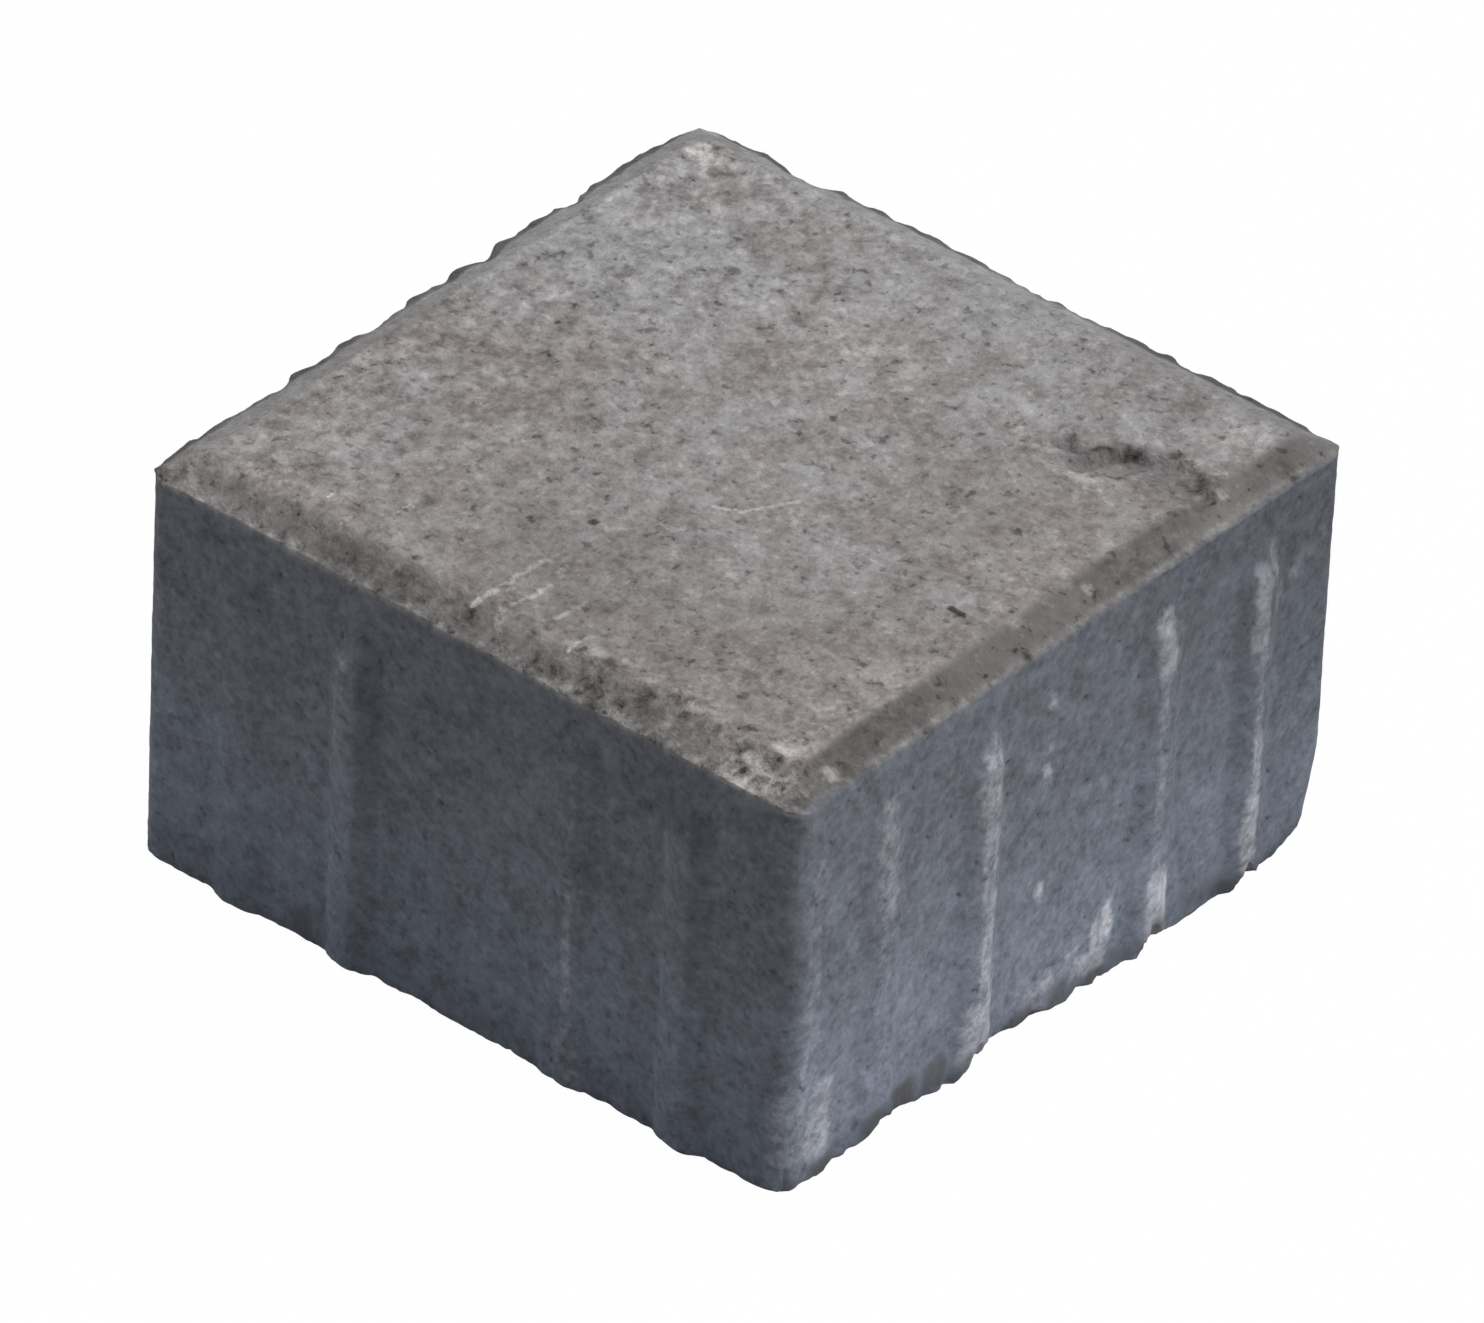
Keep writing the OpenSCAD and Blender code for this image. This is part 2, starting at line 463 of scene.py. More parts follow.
# %% Crumbly places, the strip above the bed and the pale far rim
LEFT_EDGE_CRUMBLY = 0.55
FRONT_EDGE_CRUMBLIER = 0.45
HOLLOW_CRUMBLY = 0.6
LEFT_CORNER_CRUMBLY = 0.35
crumbly = smooth(ring_size, FLAT - 4, FLAT + 1) * wearing * near_left
crumbly *= LEFT_EDGE_CRUMBLY + FRONT_EDGE_CRUMBLIER * smooth(x, -15, 20)
in_hollow = np.clip(hollow_depth, 0, 1) * smooth(before_wall, -4, 0) * fade(before_wall, 5, 9) * wearing
crumbly = np.maximum(crumbly, HOLLOW_CRUMBLY * in_hollow)
crumbly = np.maximum(crumbly, LEFT_CORNER_CRUMBLY * fade(x, -45, -5) * wearing * (1 - chamfer))
drift = wander(3.0, SEED + 4)
near_bed = np.where(on_side, fade(z - bed_edge, 0.6, 4.6), 0)
far_rim = between(ring_size, FLAT - 2, FLAT - 0.5, FLAT + 0.3, FLAT + 1.5) * wearing
far_rim *= (1 - near) * smooth(y - x, 30, 80)
tell("crumbly places", crumbly)

# %% Rubbed arrises
# The left arris is rubbed on both its faces. The right one is rubbed only just inside, beside a thin bare
# rim, and by the given shares at places along y.
RUBBED_RIGHT = ((-50, 0.15), (-40, 0.5), (-32, 0.85), (20, 0.85), (27, 1.0), (36, 0.55), (50, 0.5))
RUBBED_LEFT = 0.65
BARE_WIDTH = 0.6
BARE_WIDER_IN_FRONT = 1.3
on_left_face = on_side * smooth(-y, HALF_SIDE - 1, HALF_SIDE - 0.3)
left_rim = RUBBED_LEFT * smooth(ring_size, HALF_SIDE - 1.1, HALF_SIDE - 0.5) * wearing
left_rim = np.maximum(left_rim, on_left_face * fade(below_arris, 0.1, 1.1))
bare_width = BARE_WIDTH + BARE_WIDER_IN_FRONT * fade(y, -50, -42)
bare_rim = smooth(ring_size, HALF_SIDE - bare_width, HALF_SIDE) * near_right * wearing
right_rim = between(ring_size, HALF_SIDE - 1.6, HALF_SIDE - 0.9, HALF_SIDE - 0.6, HALF_SIDE)
right_rim *= graded(y, RUBBED_RIGHT) * wearing
rubbed_arris = np.maximum(left_rim * near_left, right_rim * near_right)
tell("rubbed arrises", rubbed_arris)

# %% Slow changes of tone on the wearing face
# Each patch: x, y, half length along x and along y, and how much paler or darker it is.
TONE_PATCHES = (
    (2, -35, 18, 12, -0.17), (44, -33, 9, 18, 0.18), (42, 11, 8, 16, 0.13), (44, 43, 7, 6, 0.27),
    (-8, 22, 18, 9, 0.11), (-45, 14, 5, 14, -0.15), (-45, -20, 5, 9, 0.14), (-44, 41, 5, 5, 0.12),
    (20, 28, 5, 4, 0.16), (0, 44, 10, 4, -0.1), (5, -45, 6, 3, -0.14), (29, -46, 8, 4, 0.18),
    (-2, 28, 9, 5, 0.14), (-21, 4, 7, 5, 0.14), (5, -4, 5, 4, 0.12), (4, -20, 12, 5, -0.1),
    (-34, -24, 6, 7, -0.1),
)
# Where an oval begins to fade and where it ends, as shares of its half lengths.
OVAL_EDGE = (0.3, 1.4)


def oval_reach(middle_x, middle_y, half_x, half_y):
    """How far each corner is from the middle of an oval, as a share of the oval's half lengths."""
    return np.hypot((x - middle_x) / half_x, (y - middle_y) / half_y)


def summed(base, changes):
    """A base value with each named change added, by its share at each corner."""
    return sum((change * share for change, share in changes.values()), base)


hollow_floor = smooth(before_wall, 0, 1.5) * fade(before_wall, 5, 9) * np.clip(hollow_depth, 0, 1)
top_tone = summed(1.0, {
    "far corner": (0.06, smooth(y - x, 10, 80)),
    "right half": (-0.14, smooth(x, 0, 45)),
    "crumbly places": (0.05, crumbly),
    "right chamfer": (-0.13, soiled_right),
    "hollow": (-0.2, hollow_floor),
    "far chamfers": (-0.06, chamfer * (1 - near)),
    "left chamfer": (-0.22, smooth(soiled_left, 0.75, 1)),
})
for *oval, change in TONE_PATCHES:
    top_tone += change * fade(oval_reach(*oval), *OVAL_EDGE) * (1 - chamfer)
print(f"tone of the wearing face: {top_tone[on_top].min():.2f} to {top_tone[on_top].max():.2f}")

# %% Slow changes of tone on the side faces: painted light low down, painted shade, and changes towards the ends
CHIP_SHADE_DARKER = 0.4
low_down = fade(z, 6, 48)
right_along = on_face("right")[1]
left_out, left_along = on_face("left")
# The left face's base tone is lower than the right face's: painted shade.
left_tone = summed(0.78, {
    # Paler low down: painted light.
    "painted light low down": (0.25, low_down),
    "foot of the near end": (-0.12, low_down * smooth(left_along, 36, 46)),
    "far end": (0.06, fade(left_along, -50, -38)),
    # Paler along the bed edge, most at the far end: painted light.
    "bed edge": (0.14, near_bed),
    "painted light at the far end of the bed edge": (0.1, fade(left_along, -46, -36) * near_bed),
})
right_tone = summed(0.89, {
    # Paler low down: painted light.
    "painted light low down": (0.34, low_down),
    # Darker just below the arris: painted shade.
    "painted shade below the arris": (-0.04, smooth(z, 40, 54)),
    "far half": (-0.18, smooth(right_along, -5, 35)),
    "far end": (-0.08, smooth(right_along, 25, 48)),
    # Darker along the bed edge: painted shade under the chipped edge.
    "bed edge": (-0.25, near_bed),
    # Darker by the near upright edge: painted shade, where the left face's shade wraps round the corner.
    "painted shade by the near upright edge": (-0.22, fade(right_along, -52, -49) * fade(z, 25, 52)),
})
beside_x = np.abs(x) > np.abs(y)
# Chipped places on the bed edge are darkened: painted shade on their faces that turn down.
side_tone = np.where(beside_x, right_tone, left_tone) - CHIP_SHADE_DARKER * broken
tone = np.where(on_top, top_tone, side_tone)
print(f"tone of the side faces: {side_tone[on_side].min():.2f} to {side_tone[on_side].max():.2f}")

# %% Painted light and shade on the flanks of the ribs on the near left face
# Each flank: where it begins, is whole, begins to fade and ends, from the middle of the rib.
LIT_FLANK = (-5, -3, 0, 1.2)
SHADED_FLANK = (0.6, 1.6, 3.4, 4.8)
LIT_FLANK_PALER = 0.1
SHADED_FLANK_DARKER = 0.17
on_left = np.where(on_side, smooth(left_out, HALF_SIDE - 3, HALF_SIDE - 1), 0)
rib_length = on_left * fade(z, RIB_TOP - RIB_RUNOUT, RIB_TOP)
for place_along, left_over in zip(RIB_PLACES, RIB_LEFT_OVER["left"]):
    past = left_along - place_along
    # Each rib's left flank is painted paler, as painted light, and its right flank darker, as painted shade.
    painted_flank_light = LIT_FLANK_PALER * between(past, *LIT_FLANK) - SHADED_FLANK_DARKER * between(past, *SHADED_FLANK)
    tone += left_over ** 2 * rib_length * painted_flank_light
print(f"tone of the whole stone: {tone.min():.2f} to {tone.max():.2f}")

# %% [markdown]
# ## Lime, soil, stains and scratches, and some painted light and shade
# The pale streaks on the ribs are lime and rubbed cement, which lie where neighbouring stones touched. The
# bed edge holds soil, and the wearing face has stains, scratches and a short crack. Some streaks and blotches
# are painted highlights, and the hollow holds painted shade. A painted image would hold them all in one file;
# as lists of places and sizes they can each be moved, and they need no file.

# %% Streaks of lime and soil on the side faces, with painted light among the lime
# Each streak: place along the face, lower and upper end, half width, strength.
LIME_AND_HIGHLIGHTS = {
    "right": (
        (-35.4, 33, 51, 2.2, 0.4), (-35.4, 8, 36, 1.8, 0.14), (-16.5, 38, 50, 2.4, 0.6),
        (-16.4, 26, 41, 1.9, 0.5), (-16.2, 12, 27, 1.7, 0.5), (-17.0, 1, 12, 3.0, 0.65),
        (17.1, 42, 51.5, 1.7, 0.8), (16.9, 35, 43, 1.1, 0.5), (17.2, 12, 36, 1.1, 0.32),
        (18.2, 1, 12, 2.6, 0.85), (35.3, 36, 49, 1.6, 0.75), (38.5, 45, 50.5, 1.2, 0.55),
        (35.8, 27, 37, 1.1, 0.38), (36.2, 12, 28, 1.2, 0.55), (35.8, 2, 14, 1.6, 0.8),
        # The streak at -48.2 along, from 14 up to 50, is a painted highlight down the near upright edge.
        (-46.3, 2, 15, 2.4, 0.5), (-48.2, 14, 50, 1.6, 0.2), (-4.4, 48.2, 49.6, 0.9, 1.0),
        (-4.0, 41, 42.6, 0.8, 0.8), (-4.6, 37, 40.5, 0.9, 0.85), (-5.1, 20, 22, 0.9, 0.85),
        (9.0, 5, 11, 1.2, 0.9), (6.8, 4.5, 9.5, 0.9, 0.8), (7.9, 2.5, 5, 1.9, 0.75),
        (7.8, 10, 11.5, 1.4, 0.8), (4.4, 2, 6, 2.2, 0.55), (3.6, 4, 8.5, 3.4, 0.3),
        (-3.5, 2, 7, 4.2, 0.45), (40.2, 39, 44.5, 1.5, 0.32), (43.6, 42, 46, 1.8, 0.3),
        (48, 43.5, 46.5, 2.6, 0.26), (-47, 38, 41, 1.5, 0.2),
    ),
    "left": (
        (-18.6, 44.5, 47, 1.0, 0.5), (-18.2, 39.5, 41.5, 0.9, 0.5), (-18.6, 36.5, 38, 0.9, 0.42),
        (-19.2, 34, 47, 1.2, 0.22), (17.6, 11, 29, 0.8, 0.42), (17.6, 29, 46, 0.6, 0.2),
        # The streak at 18 along, low on the rib, is partly dust and partly painted light near the bed.
        (18, 1, 10, 2.4, 0.3), (2.6, 54.5, 56, 0.8, 0.5), (51.5, 4, 16, 1.6, 0.35),
    ),
    "far_right": (
        (-36, 30, 50, 1.8, 0.5), (17, 4, 44, 1.0, 0.45), (36.5, 20, 50, 1.5, 0.6), (-17, 2, 12, 2.2, 0.5),
    ),
    "far_left": (
        (-17, 28, 50, 1.8, 0.5), (36, 2, 40, 1.2, 0.5), (-36, 3, 20, 1.6, 0.4), (4, 2, 9, 3.0, 0.4),
    ),
}
# Soil low on the two near faces, written like the streaks above.
SOIL = {
    "right": (
        (-36.5, 0, 5.5, 2.6, 0.6), (-30.5, 0, 6, 3.6, 0.65), (-24, 0, 5.5, 3, 0.6),
        (0, 0, 5, 2.4, 0.55), (12, 0, 4, 2.5, 0.35), (30, 0, 4.5, 3, 0.35),
    ),
    "left": ((-25, 0, 5, 1.8, 0.45), (4, 0, 4, 2.0, 0.3), (30, 0, 3, 2.5, 0.3)),
}
STREAK_DRIFT_UP = 1.5
STREAK_DRIFT_ALONG = 0.6
STREAK_SOFT_END = 1.5


def side_marks(marks):
    """The strength of the strongest mark at each corner of the side faces."""
    found = np.zeros(len(corners))
    height = z + STREAK_DRIFT_UP * drift
    for face, streaks in marks.items():
        out, along = on_face(face)
        outer = np.where(on_side, smooth(out, HALF_SIDE - 6, HALF_SIDE - 4), 0)
        for place_along, low, high, half_width, strength in streaks:
            sideways = np.abs(along - place_along + STREAK_DRIFT_ALONG * drift)
            ends = [end + soft for end in (low, high) for soft in (-STREAK_SOFT_END, STREAK_SOFT_END)]
            mark = fade(sideways, 0.5 * half_width, 1.4 * half_width) * between(height, *ends)
            found = np.maximum(found, strength * mark * outer)
    return found


lime_and_highlight = side_marks(LIME_AND_HIGHLIGHTS)
soil = side_marks(SOIL)
tell("lime_and_highlight", lime_and_highlight)
tell("soil", soil)

# %% Blotches on the wearing face, with painted highlights among them
# Each blotch: x, y, half length along x and along y, strength. Negative strengths are dark.
BLOTCHES_AND_HIGHLIGHTS = (
    (26.5, 31.9, 0.8, 0.8, -0.5), (32.8, 37.8, 0.9, 0.8, -0.45), (38.1, 22.7, 0.9, 0.8, -0.6),
    # The pale blotches on the front lip and round the right-hand end of the torn hollow are painted
    # highlights.
    (33.9, 22.4, 2.6, 1.6, 0.6), (47.3, 28.2, 1.4, 0.9, -0.35), (49.6, 27.2, 1.2, 0.6, -0.4),
    (44, 30.5, 3.0, 2.0, -0.2), (40, 28, 3.5, 2.2, -0.15), (28.2, 25.4, 0.8, 1.0, 0.5),
    (46.8, 34.2, 0.9, 1.3, 0.85), (48.6, 32.2, 0.9, 1.0, 0.8), (42.6, 34.6, 1.4, 1.0, 0.4),
    (50, 28.4, 0.7, 0.6, 0.7), (40.5, -50.2, 3.2, 1.8, 0.95), (47.5, -50, 3.0, 1.8, 0.75),
    (50.5, -44.4, 1.8, 1.5, 0.75), (50.4, -42.1, 0.9, 1.0, -0.6), (48.5, -40.8, 1.0, 0.9, -0.45),
    (36.3, 34.8, 3.0, 1.4, 0.4), (30.8, 32.4, 2.0, 1.2, 0.35), (34.1, -37, 1.5, 1.5, 0.4),
    (35.6, -45.8, 1.2, 1.0, 0.5), (44.2, -46.1, 3.5, 1.8, 0.2), (44.7, -51.7, 2.6, 1.0, 0.35),
    (48.9, -52.1, 1.2, 0.6, 0.4), (34.2, -41.3, 2.0, 1.5, 0.3), (28.1, -44.3, 1.2, 1.0, 0.35),
    (17.6, -46.8, 1.2, 1.0, -0.7), (26.4, -49.7, 2.4, 1.4, -0.5), (17, -51.8, 1.0, 0.7, -0.9),
    (40.2, -50.9, 1.0, 0.6, -0.35), (39.4, -48.8, 1.1, 0.6, -0.25), (41.1, -46, 1.0, 0.6, -0.35),
    (45.9, -48.7, 1.2, 0.9, -0.3), (24, -47.7, 1.5, 1.2, -0.5), (6.4, -1, 1.6, 1.1, 0.6),
    (-44, 44.4, 3.6, 2.0, 0.95), (-41.6, 42, 2.5, 1.5, 0.3), (-9.7, 40.5, 1.6, 1.0, 0.5),
    (-39.6, -46.3, 5.5, 2.2, 0.35), (-45.6, -23.3, 1.0, 1.6, 0.4), (44, -51.2, 3.6, 1.6, 0.5),
    (42.5, -48.9, 3.0, 1.5, 0.35), (49.3, 5.6, 0.9, 0.9, 0.9), (48, -6.5, 1.2, 1.8, 0.45),
    (21.5, 25.6, 5.0, 1.8, 0.4), (29, 23, 3.5, 1.8, 0.35), (35.8, 21.4, 5, 2.0, 0.35),
    (44.2, -4.9, 3, 5, 0.25), (44.7, -35.8, 3, 12, 0.22), (-3.7, 23.1, 3, 2, 0.25),
    (44.2, 41, 4, 4, 0.25), (32.2, 36, 5, 2.5, 0.25), (45.5, -44.6, 3, 3, 0.3),
    (7, -5, 4.5, 2.0, 0.22), (-44.8, 32.7, 1.3, 1.8, -0.5), (-30.6, 28.6, 2.6, 2.2, -0.35),
    (-24.9, 27, 1.2, 1.0, -0.7), (-12.4, 23.9, 1.7, 1.2, -0.55), (18, 11.3, 1.2, 1.6, -0.45),
    (-2.9, -25.9, 0.9, 0.9, -0.9), (51.6, -9, 0.9, 0.8, -0.9), (-22.7, 32, 2.5, 3.5, -0.25),
    (-44.5, -49.2, 3.2, 1.6, -0.4), (49.6, 43.6, 2.4, 2.0, -0.38), (-31.6, -24.8, 4, 2.5, -0.2),
    (8.3, -40.5, 4.5, 4, -0.2), (35.2, -42, 3.5, 2.5, -0.25), (-33.6, 37.5, 3.0, 1.6, -0.2),
    (1.8, -42, 1.0, 2.0, 0.55), (1.5, -48.1, 0.9, 1.3, 0.45), (3.8, -40.4, 0.8, 0.8, -0.6),
    (5.1, -43.6, 0.8, 1.5, -0.35), (10.3, -38.9, 0.8, 0.7, -0.45), (23.9, -45, 1.8, 1.2, 0.4),
)
BLOTCH_DRIFT = 0.45
FAR_RIM_PALE = 0.35
stains_and_painted_light = np.zeros(len(corners))
for *oval, strength in BLOTCHES_AND_HIGHLIGHTS:
    stains_and_painted_light += strength * fade(oval_reach(*oval) + BLOTCH_DRIFT * drift, *OVAL_EDGE) * wearing
stains_and_painted_light += FAR_RIM_PALE * far_rim
print(f"{len(BLOTCHES_AND_HIGHLIGHTS)} blotches, from {stains_and_painted_light.min():.2f} to {stains_and_painted_light.max():.2f}")

# %% Scratches and a short crack
# Each stroke: x and y of its two ends, strength. The mask falls evenly from each stroke, so that the finish
# can draw a line thinner than the mesh's faces.
SCRATCHES = (
    (-2.6, -48.4, -2.4, -45.2, 1.0), (-2.4, -45.2, -2.1, -35.9, 0.96), (0.8, -48.3, 1.4, -44.5, 0.92),
    (1.5, -44, 2.1, -39.5, 0.95), (0.9, -37, 0.9, -34.6, 0.92), (6.8, -44.6, 7.4, -39.4, 0.95),
    (11.9, -47.7, 12.3, -44.2, 0.95), (7.9, -36, 8.4, -30.6, 0.82), (-30, -44, -29.5, -37, 0.8),
    (-22, -45, -21.6, -38, 0.78), (5.8, -13.3, 9.3, -11.8, 0.96), (9.3, -11.8, 12.7, -5.4, 0.92),
    (9, -9.2, 44, -8.6, 0.74), (4, -16, 38, -15.4, 0.72), (-6, -23.6, 24, -22.8, 0.72),
)
CRACK = (40.2, -9.9, 42.4, -10.1, 0.97)
STROKE_REACH = 1.7


def stroke(x_start, y_start, x_end, y_end, strength):
    """A mask that falls evenly from the given strength on a straight stroke to 0."""
    run_x, run_y = x_end - x_start, y_end - y_start
    share = ((x - x_start) * run_x + (y - y_start) * run_y) / (run_x ** 2 + run_y ** 2)
    share = np.clip(share, 0, 1)
    away = np.hypot(x - x_start - share * run_x, y - y_start - share * run_y)
    return np.clip(strength - away / STROKE_REACH, 0, 1) * wearing


scratched = np.max([stroke(*scratch) for scratch in SCRATCHES], axis=0)
cracked = stroke(*CRACK)
tell("scratches", scratched, 0.6)

# %% Painted shade in the hollow, and dirt there and along the broken bed edge
# Each gash is a dark cleft, written like a scratch, partly dirt and partly painted shade. The last is painted
# shadow on the right chamfer, the rest are in or beside the hollow.
GASHES = (
    (27.2, 29.6, 29.5, 27.2, 0.75), (29.8, 29.5, 30.1, 29.2, 0.85), (29.5, 26.4, 31.0, 27.0, 0.9),
    (31.3, 27.6, 33.8, 29.8, 0.95), (33.8, 29.8, 36.2, 32.0, 0.7), (36.6, 32.2, 41.0, 34.6, 0.92),
    (34.3, 31.4, 35.7, 30.7, 0.78), (44.8, 33, 45.8, 32, 0.7), (46.5, 32.2, 46.9, 31.4, 0.85),
    (45.6, 30.2, 46.2, 29.4, 0.75), (48.0, 41.2, 51.2, 43.7, 0.42),
)
WALL_SHADE_DARKER = 0.25
GASH_SHADE_AND_DIRT = 0.75
SHADE_AND_DIRT_EVEN = 0.9
SHADE_AND_DIRT_LUMPY = 0.55
RIGHT_GRIT = 0.6
LEFT_GRIT = 0.1
wall_shade = between(before_wall, -0.4, 0.7, 2.4, 4.4) * wearing
wall_shade *= np.interp(x, hollow_x, hollow_shades)
gash_shade_and_dirt = np.max([stroke(*gash) for gash in GASHES], axis=0)
# The wall's painted shade and the gashes darken the hollow here.
stains_and_painted_light -= (WALL_SHADE_DARKER * wall_shade + GASH_SHADE_AND_DIRT * gash_shade_and_dirt) * (SHADE_AND_DIRT_EVEN + SHADE_AND_DIRT_LUMPY * crumble)
grit = near_bed * smooth(lumps, -0.35, 0.35)
stains_and_painted_light -= np.maximum(soil, np.where(beside_x, RIGHT_GRIT, LEFT_GRIT) * grit)
tell("dirt", -stains_and_painted_light)

# %% Store the masks on the mesh
COOL_SLOPE = 0.006
HOLLOW_ROUGH_DEPTH = 0.6
HOLLOW_SOILED = 0.3
corners[:, 2] = np.clip(z, 0, None)
laid_mesh = bpy.data.meshes.new("laid_grid")
laid_mesh.from_pydata((corners * MM).tolist(), [], faces)
rough = summed(0.35, {
    "wearing face": (0.4, wearing),
    "chamfers": (0.2, chamfer),
    "crumbly places": (1.8, crumbly),
    "hollow": (0.4, np.clip(sink / HOLLOW_ROUGH_DEPTH, 0, 1)),
    "bed edge": (0.8, near_bed),
})
masks = {
    "rough": rough,
    "wearing": wearing - bare_rim,
    "cool": (y - x) * COOL_SLOPE,
    "soiled": np.maximum(np.maximum(soiled_right, soiled_left), HOLLOW_SOILED * hollow_floor * wearing),
    "low_down": low_down,
    "far_edge": chamfer * (1 - near),
    "tone": tone,
    "crumbly": crumbly,
    "arris": rubbed_arris,
    "lime_and_highlight": lime_and_highlight,
    "stains_and_painted_light": np.clip(stains_and_painted_light, -1, 1),
    "scratched": scratched,
    "cracked": cracked,
    "lip": lip,
}
for name, values in masks.items():
    attribute = laid_mesh.attributes.new(name, "FLOAT", "POINT")
    attribute.data.foreach_set("value", values.astype(np.float32))
    print(f"{name}: {values.min():.2f} to {values.max():.2f}")
stone = bpy.data.objects.new("worn_stone", laid_mesh)
bpy.context.collection.objects.link(stone)

# %% [markdown]
# ## Formulas in node trees
# The skin and the finish below are both node trees. Adding Math nodes one by one hides the formula that they
# make, so this helper lets a formula be written as algebra: each sum or product of two values adds one node.

# %% A helper for formulas
class Value:
    """A number or vector in a node tree. Arithmetic on it adds Math nodes to that tree."""

    def __init__(self, socket):
        self.socket = socket
        self.tree = socket.id_data

    def math(self, operation, *others):
        inputs = dict(enumerate((self, *others)))
        return made(self.tree, "ShaderNodeMath", 0, inputs, operation=operation)

    def __add__(self, other):
        return self.math("ADD", other)

    def __sub__(self, other):
        return self.math("SUBTRACT", other)

    def __mul__(self, other):
        return self.math("MULTIPLY", other)

    def __truediv__(self, other):
        return self.math("DIVIDE", other)

    def ramp(self, start, end):
        """Rises smoothly from 0 at start to 1 at end."""
        inputs = {"Value": self, "From Min": start, "From Max": end}
        return made(self.tree, "ShaderNodeMapRange", "Result", inputs, interpolation_type="SMOOTHSTEP")

    def times(self, factor):
        """A vector or colour made longer by a factor."""
        inputs = {0: self, "Scale": factor}
        return made(self.tree, "ShaderNodeVectorMath", "Vector", inputs, operation="SCALE")


def add_node(tree, kind, **settings):
    """Adds a node of a kind to a tree, with its settings."""
    node = tree.nodes.new(kind)
    for name, setting in settings.items():
        setattr(node, name, setting)
    return node


def feed(socket, value):
    """Gives a socket a fixed value, or links another value to it."""
    if isinstance(value, Value):
        socket.id_data.links.new(value.socket, socket)
    else:
        socket.default_value = value


def made(tree, kind, output, inputs, **settings):
    """Adds a node, feeds its inputs, by name or number, and gives one of its outputs."""
    node = add_node(tree, kind, **settings)
    for name, value in inputs.items():
        feed(node.inputs[name], value)
    return Value(node.outputs[output])


def cleared_tree(owner):
    """The node tree of a material or world, with no nodes in it."""
    owner.use_nodes = True
    owner.node_tree.nodes.clear()
    return owner.node_tree


# %% A helper for noise
NOISE_MIDDLE = 0.5
NOISE_SPREAD = 6


def lumpy(where, size, detail, seed, broken=0.5):
    """Noise from about -1 to 1, with lumps of the given size."""
    scale = size.math("POWER", -1) if isinstance(size, Value) else 1 / size
    inputs = {"Vector": where, "W": seed, "Scale": scale, "Detail": detail, "Roughness": broken}
    noise_value = made(where.tree, "ShaderNodeTexNoise", "Fac", inputs, noise_dimensions="4D")
    return (noise_value - NOISE_MIDDLE) * NOISE_SPREAD


# %% [markdown]
# ## The finish
# Concrete is rough and dull: it has no clear highlight, and its character is in its grains. The side faces
# are the bare blue-grey cement that the mould left smooth. The wearing face has bloomed to a warm grey. Two
# materials could share the stone, but their border would be as sharp as the mesh's faces. One material does
# both: it mixes its colours by the masks and breaks them up with noise, as grains of sand do.

# %% Concrete material
WARM_BLOOM = (0.268, 0.246, 0.236, 1)
COOL_BLOOM = (0.292, 0.285, 0.292, 1)
CHAMFER_BROWN = (0.162, 0.152, 0.151, 1)
SIDE_GREY = (0.162, 0.173, 0.201, 1)
SIDE_BLUE = (0.155, 0.173, 0.212, 1)
LIME_AND_HIGHLIGHT_PALE = (0.395, 0.400, 0.440, 1)
ARRIS_PALE = (0.310, 0.302, 0.297, 1)
# The stain dark below also colours the crack and the painted shade in the hollow.
STAIN_AND_SHADE_DARK = (0.060, 0.053, 0.050, 1)
# This pale also colours the painted highlights among the blotches.
STAIN_AND_HIGHLIGHT_PALE = (0.430, 0.412, 0.398, 1)
SCRATCH_PALE = (0.460, 0.450, 0.440, 1)
LIP_DARK = (0.105, 0.106, 0.110, 1)
CONCRETE_ROUGHNESS = 0.92
CONCRETE_SHINE = 0.15

concrete = bpy.data.materials.new("concrete")
finish = cleared_tree(concrete)
shader = add_node(finish, "ShaderNodeBsdfPrincipled")
surface = add_node(finish, "ShaderNodeOutputMaterial")
finish.links.new(shader.outputs["BSDF"], surface.inputs["Surface"])
feed(shader.inputs["Roughness"], CONCRETE_ROUGHNESS)
feed(shader.inputs["Specular IOR Level"], CONCRETE_SHINE)
on_stone = made(finish, "ShaderNodeTexCoord", "Object", {})
print(f"concrete of roughness {CONCRETE_ROUGHNESS}")


def mask(name):
    """A mask that is stored on the mesh."""
    return made(finish, "ShaderNodeAttribute", "Fac", {}, attribute_name=name)


def blend(share, first, second):
    """The first colour where the share is 0, and the second where it is 1."""
    # Inputs 6 and 7 and output 2 of a Mix node are its colours.
    inputs = {"Factor": share, 6: first, 7: second}
    return made(finish, "ShaderNodeMix", 2, inputs, data_type="RGBA", clamp_factor=True)


# %% Noise at several sizes
clouds = lumpy(on_stone, 24 * MM, 2, 1.0)
patches = lumpy(on_stone, 6 * MM, 3, 2.0)
clumps = lumpy(on_stone, 2.2 * MM, 3, 3.0, broken=0.6)
sand = lumpy(on_stone, 0.9 * MM, 2, 4.0, broken=0.6)
specks = lumpy(on_stone, 1.6 * MM, 2, 5.0)
breakup = sand * 0.5 + clumps * 0.5
print(f"noise: {len(finish.nodes)} nodes so far")


# %% Colours by mask
def coat(under, name, tint, start, whole, ragged, sign=1, cover=1):
    """Lays a tint over a colour where a mask, made ragged by the grains, rises from start to whole."""
    share = (mask(name) * sign + breakup * ragged).ramp(start, whole) * cover
    return blend(share, under, tint)


